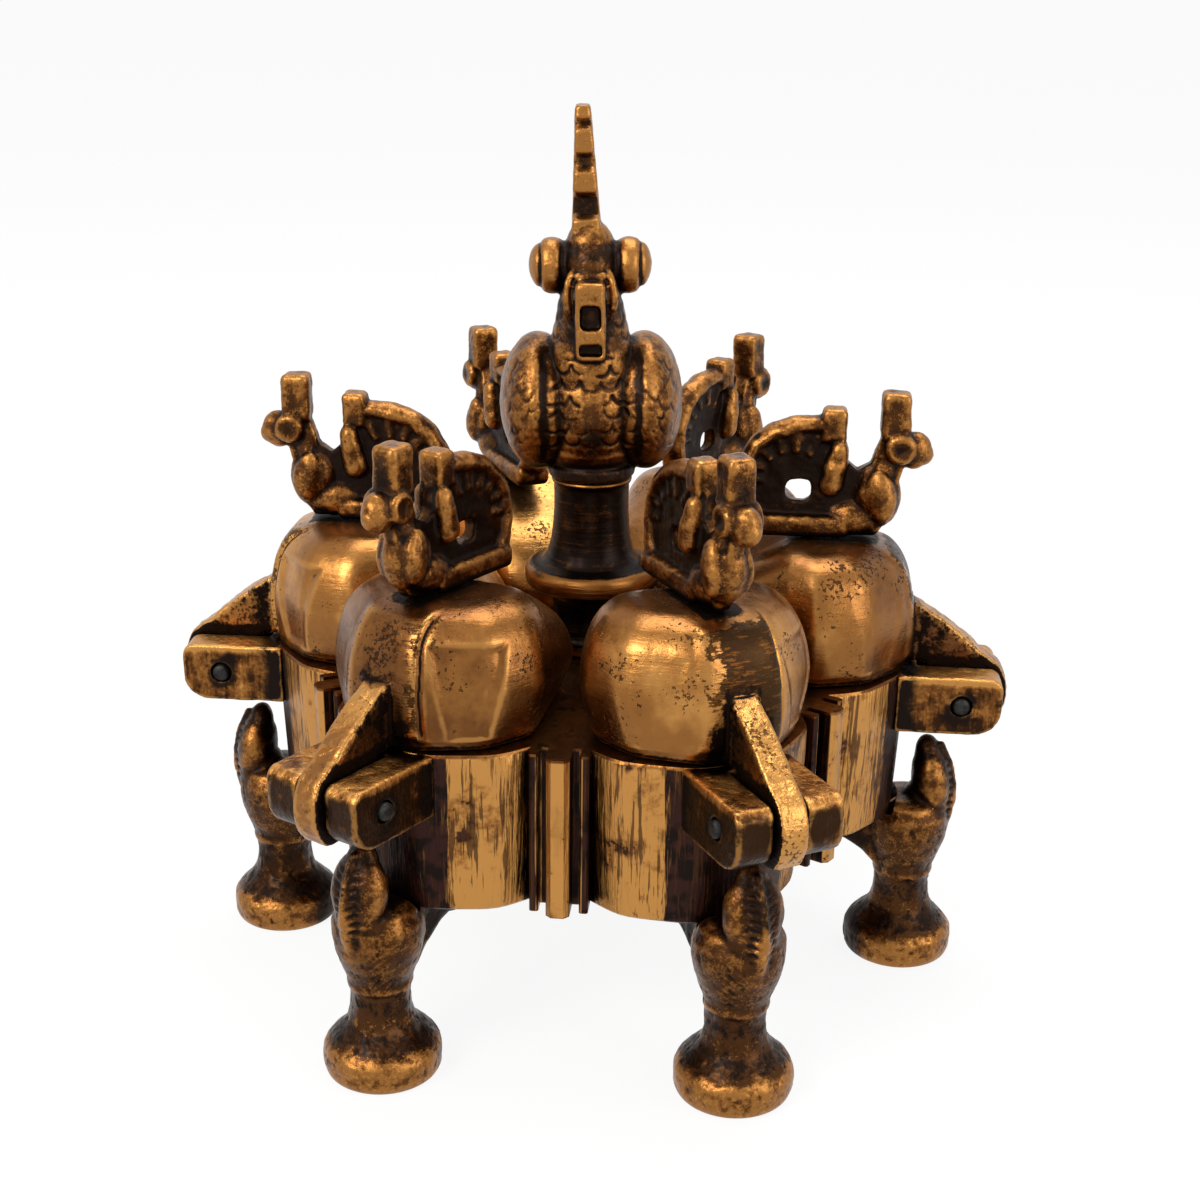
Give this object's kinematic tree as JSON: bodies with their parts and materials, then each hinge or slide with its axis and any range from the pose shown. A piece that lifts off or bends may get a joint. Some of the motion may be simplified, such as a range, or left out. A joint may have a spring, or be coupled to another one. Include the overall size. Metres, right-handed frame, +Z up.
{
  "type": "sindoor box",
  "caption": "Cast brass sindoor box: petal cups in one tray, each under a hinged domed lid with a small peacock, on bird legs, with a large peacock as the handle.",
  "frame": {"origin": "middle of the bounding box in plan, on the plane that the feet stand on", "axes": "+Z up; +X along the hinge arm of lid 1; the handle peacock faces about -Y, towards the gap between lids 5 and 6"},
  "size_m": [0.151, 0.1374, 0.1538],
  "materials": {
    "rubbed_brass": "satin antique brass, rubbed bright, dark in the corners",
    "patina_brass": "antique brass with a brown patina, gold on the raised edges",
    "dark_brass": "nearly black patina with faint turning lines",
    "pin_steel": "dull grey steel"
  },
  "bodies": {
    "box": {"tray": "rubbed_brass", "hinge_fork_1": "rubbed_brass", "hinge_fork_2": "rubbed_brass", "hinge_fork_3": "rubbed_brass", "hinge_fork_4": "rubbed_brass", "hinge_fork_5": "rubbed_brass", "hinge_fork_6": "rubbed_brass", "hinge_pin_1": "pin_steel", "hinge_pin_2": "pin_steel", "hinge_pin_3": "pin_steel", "hinge_pin_4": "pin_steel", "hinge_pin_5": "pin_steel", "hinge_pin_6": "pin_steel", "leg_1": "patina_brass", "leg_2": "patina_brass", "leg_3": "patina_brass", "leg_4": "patina_brass", "leg_5": "patina_brass", "leg_6": "patina_brass", "leg_rivet_1": "dark_brass", "leg_rivet_2": "dark_brass", "leg_rivet_3": "dark_brass", "leg_rivet_4": "dark_brass", "leg_rivet_5": "dark_brass", "leg_rivet_6": "dark_brass", "handle_pedestal": "dark_brass", "handle_peacock": "patina_brass", "handle_stud": "pin_steel", "handle_washer": "pin_steel", "handle_nut": "pin_steel"},
    "lid_1_body": {"lid_1": "rubbed_brass", "lid_bird_1": "patina_brass", "lid_bird_rivet_1": "dark_brass"},
    "lid_2_body": {"lid_2": "rubbed_brass", "lid_bird_2": "patina_brass", "lid_bird_rivet_2": "dark_brass"},
    "lid_3_body": {"lid_3": "rubbed_brass", "lid_bird_3": "patina_brass", "lid_bird_rivet_3": "dark_brass"},
    "lid_4_body": {"lid_4": "rubbed_brass", "lid_bird_4": "patina_brass", "lid_bird_rivet_4": "dark_brass"},
    "lid_5_body": {"lid_5": "rubbed_brass", "lid_bird_5": "patina_brass", "lid_bird_rivet_5": "dark_brass"},
    "lid_6_body": {"lid_6": "rubbed_brass", "lid_bird_6": "patina_brass", "lid_bird_rivet_6": "dark_brass"}
  },
  "joints": [
    {"name": "lid_1_hinge", "type": "hinge", "parent": "box", "child": "lid_1_body", "pos_m": [0.0669, 0, 0.0538], "axis": [0, 1, 0], "range_deg": [0, 110]},
    {"name": "lid_2_hinge", "type": "hinge", "parent": "box", "child": "lid_2_body", "pos_m": [0.03345, 0.05794, 0.0538], "axis": [-0.866, 0.5, 0], "range_deg": [0, 110]},
    {"name": "lid_3_hinge", "type": "hinge", "parent": "box", "child": "lid_3_body", "pos_m": [-0.03345, 0.05794, 0.0538], "axis": [-0.866, -0.5, 0], "range_deg": [0, 110]},
    {"name": "lid_4_hinge", "type": "hinge", "parent": "box", "child": "lid_4_body", "pos_m": [-0.0669, 0, 0.0538], "axis": [0, -1, 0], "range_deg": [0, 110]},
    {"name": "lid_5_hinge", "type": "hinge", "parent": "box", "child": "lid_5_body", "pos_m": [-0.03345, -0.05794, 0.0538], "axis": [0.866, -0.5, 0], "range_deg": [0, 110]},
    {"name": "lid_6_hinge", "type": "hinge", "parent": "box", "child": "lid_6_body", "pos_m": [0.03345, -0.05794, 0.0538], "axis": [0.866, 0.5, 0], "range_deg": [0, 110]}
  ]
}
